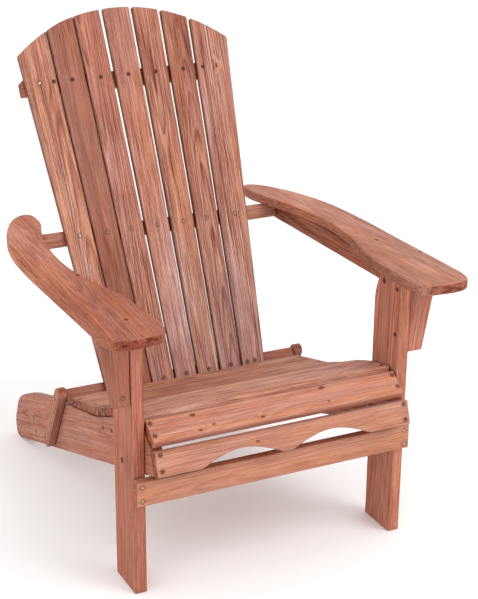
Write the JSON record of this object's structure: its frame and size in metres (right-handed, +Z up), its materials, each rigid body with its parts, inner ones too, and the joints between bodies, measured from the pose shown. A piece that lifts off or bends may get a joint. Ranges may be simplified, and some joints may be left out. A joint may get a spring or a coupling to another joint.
{
  "type": "folding adirondack chair",
  "caption": "Folding adirondack chair in reddish-brown stained softwood: fanned arched back, sloping slatted seat with scalloped apron, broad shaped arms on bracketed front legs.",
  "frame": {"origin": "on the floor, under the centre of the overall bounding box of the chair standing open", "axes": "+Z up, the sitter faces -Y, +X is to the right of someone who stands in front of the chair and looks at it"},
  "size_m": [0.7123, 0.8338, 0.924],
  "materials": {
    "frame_wood": "reddish-brown stain on planed softwood, satin",
    "seat_wood": "reddish-brown stain on planed softwood, satin, a little worn",
    "back_wood": "reddish-brown stain on planed softwood, satin, paler and greyer boards",
    "arm_wood": "reddish-brown stain on planed softwood, satin",
    "steel": "dull weathered zinc"
  },
  "bodies": {
    "seat": {"side_rail_left": "frame_wood", "side_rail_right": "frame_wood", "rear_cross_rail": "frame_wood", "seat_cross_rail": "frame_wood", "seat_slat_1": "seat_wood", "seat_slat_2": "seat_wood", "seat_slat_3": "seat_wood", "seat_slat_4": "seat_wood", "seat_slat_5": "seat_wood", "seat_nose_slat": "seat_wood", "seat_apron": "seat_wood", "leg_pivot_bolt_left": "steel", "leg_pivot_nut_left": "steel", "link_foot_bolt_left": "steel", "link_foot_nut_left": "steel", "leg_pivot_bolt_right": "steel", "leg_pivot_nut_right": "steel", "link_foot_bolt_right": "steel", "link_foot_nut_right": "steel"},
    "legs": {"front_leg_left": "frame_wood", "front_leg_right": "frame_wood", "front_rail": "frame_wood", "arm_bracket_left": "frame_wood", "arm_bracket_right": "frame_wood", "arm_pivot_bolt_left": "steel", "arm_pivot_bolt_right": "steel"},
    "links": {"back_link_left": "frame_wood", "back_link_right": "frame_wood"},
    "back": {"back_slat_1": "back_wood", "back_slat_2": "back_wood", "back_slat_3": "back_wood", "back_slat_4": "back_wood", "back_slat_5": "back_wood", "back_slat_6": "back_wood", "back_slat_7": "back_wood", "top_cleat": "back_wood", "mid_crossbar": "back_wood", "foot_bar": "back_wood", "back_pivot_bolt_left": "steel", "back_pivot_bolt_right": "steel", "link_top_bolt_left": "steel", "link_top_bolt_right": "steel"},
    "arms": {"arm_left": "arm_wood", "arm_right": "arm_wood", "arm_rail_left": "arm_wood", "arm_rail_right": "arm_wood"}
  },
  "joints": [
    {"name": "link_swing", "type": "hinge", "parent": "seat", "child": "links", "pos_m": [0, 0.1577, 0.104], "axis": [1, 0, 0], "range_deg": [-82, 0]},
    {"name": "back_fold", "type": "hinge", "parent": "links", "child": "back", "pos_m": [0, 0.0872, 0.2236], "axis": [1, 0, 0], "range_deg": [0, 176]},
    {"name": "leg_fold", "type": "hinge", "parent": "seat", "child": "legs", "pos_m": [0, -0.2733, 0.2515], "axis": [1, 0, 0], "range_deg": [0, 70.55]},
    {"name": "arm_swing", "type": "hinge", "parent": "back", "child": "arms", "pos_m": [0, 0.2227, 0.504], "axis": [1, 0, 0], "range_deg": [-99.07, 0]}
  ],
  "couplings": [
    {"joint": "back_fold", "follows": "link_swing", "ratio": -2.1463},
    {"joint": "leg_fold", "follows": "link_swing", "ratio": -0.86036},
    {"joint": "arm_swing", "follows": "link_swing", "ratio": 1.2082}
  ]
}
